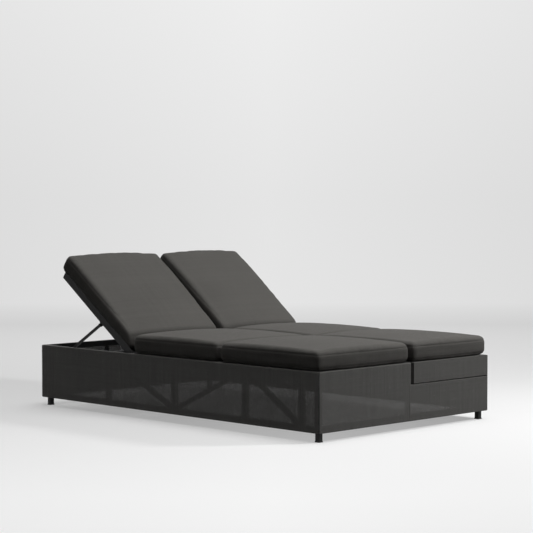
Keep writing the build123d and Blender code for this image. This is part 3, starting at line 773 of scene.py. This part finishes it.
def looked_at(tree):
    """1 where a surface is seen, straight, in a gloss or through a clear piece; 0 where it gives light."""
    seen = tree.nodes.new("ShaderNodeLightPath")
    direct = reckon(tree, "MAXIMUM", seen.outputs["Is Camera Ray"], seen.outputs["Is Glossy Ray"])
    return reckon(tree, "MAXIMUM", direct, seen.outputs["Is Transmission Ray"])


def show(tree, share, first, second, out):
    """Show the first of two surfaces, or the second by its share."""
    node = tree.nodes.new("ShaderNodeMixShader")
    for place, value in enumerate((share, first, second)):
        tree.links.new(value, node.inputs[place])
    tree.links.new(node.outputs[0], out.inputs["Surface"])


sheet = bmesh.new()
bmesh.ops.create_grid(sheet, x_segments=floor_squares, y_segments=floor_squares, size=floor_size)
floor = made("floor", sheet)
paper, tree, shader = new_finish("paper floor")
tree.nodes.remove(shader)
seen = looked_at(tree)
matt = tree.nodes.new("ShaderNodeBsdfDiffuse")
matt.inputs["Roughness"].default_value = floor_roughness
facing = tree.nodes.new("ShaderNodeCombineXYZ")
for place, amount in enumerate(floor_facing):
    facing.inputs[place].default_value = amount
tree.links.new(facing.outputs[0], matt.inputs["Normal"])
tree.links.new(tint(tree, seen, floor_lit, floor_seen), matt.inputs["Color"])
spot = tree.nodes.new("ShaderNodeTexCoord").outputs["Object"]
# Painted light: a glow in the floor where the camera sees it, brighter toward the front, lightening its
# shadows.
away = vector_sum(tree, "DOT_PRODUCT", spot, away_line)
near_glow = spread(tree, away, near_reach, 0.0, nearest_glow, midway_glow)
far_glow_loss = spread(tree, away, 0.0, far_reach, 0.0, far_glow_dimming)
sight = vector_sum(tree, "NORMALIZE", vector_sum(tree, "SUBTRACT", spot, glow_from))
pale = tree.nodes.new("ShaderNodeEmission")
tree.links.new(reckon(tree, "MULTIPLY", middle_glow(tree, sight),
                      reckon(tree, "SUBTRACT", near_glow, far_glow_loss)), pale.inputs["Strength"])
glow_share = spread(tree, away, fade_start, fade_end, least_glow_share, 1.0)
show(tree, reckon(tree, "MULTIPLY", glow_share, seen), matt.outputs[0], pale.outputs[0],
     tree.nodes["Material Output"])
floor.data.materials.append(paper)

overhead = Vector((0.03, 0.10, 0.99)).normalized()
overhead_edge, overhead_full = 0.90, 0.97
room_strength, overhead_strength = 0.035, 6.6
backdrop_low, backdrop_high = (0.72, 0.72, 0.72), (0.79, 0.79, 0.79)
backdrop_climb = 0.12

world = bpy.data.worlds.new("studio")
bpy.context.scene.world = world
world.use_nodes = True
tree = world.node_tree
tree.nodes.clear()
way = tree.nodes.new("ShaderNodeTexCoord").outputs["Generated"]
room_light = tree.nodes.new("ShaderNodeBackground")
room_light.inputs["Color"].default_value = (1, 1, 1, 1)
tree.links.new(spread(tree, vector_sum(tree, "DOT_PRODUCT", way, overhead), overhead_edge, overhead_full,
                      room_strength, overhead_strength), room_light.inputs["Strength"])
backdrop = tree.nodes.new("ShaderNodeBackground")
climb = spread(tree, split(tree, way)[2], 0.0, backdrop_climb, 0.0, 1.0)
tree.links.new(tint(tree, climb, backdrop_low, backdrop_high), backdrop.inputs["Color"])
tree.links.new(middle_glow(tree, way), backdrop.inputs["Strength"])
show(tree, looked_at(tree), room_light.outputs[0], backdrop.outputs[0],
     tree.nodes.new("ShaderNodeOutputWorld"))

lamp_place, lamp_aim = (2.86, 1.95, 2.14), (0, 0, 0.2)
lamp = bpy.data.lights.new("soft lamp", "AREA")
lamp.shape = "DISK"
lamp.size = 0.5
lamp.energy = 54
stand = bpy.data.objects.new("soft lamp", lamp)
stand.location = lamp_place
stand.rotation_euler = (Vector(lamp_aim) - stand.location).to_track_quat("-Z", "Y").to_euler()
bpy.context.scene.collection.objects.link(stand)

look_down, look_round = 2.316, 45.188
lens = bpy.data.cameras.new("camera")
lens.lens = 114.61
lens.sensor_width = 36
camera = bpy.data.objects.new("camera", lens)
camera.location = (6.21006, -6.10316, 1.09976)
camera.rotation_euler = (math.radians(90 - look_down), 0, math.radians(look_round))
bpy.context.scene.collection.objects.link(camera)
bpy.context.scene.camera = camera
bpy.context.scene.view_settings.view_transform = "Standard"
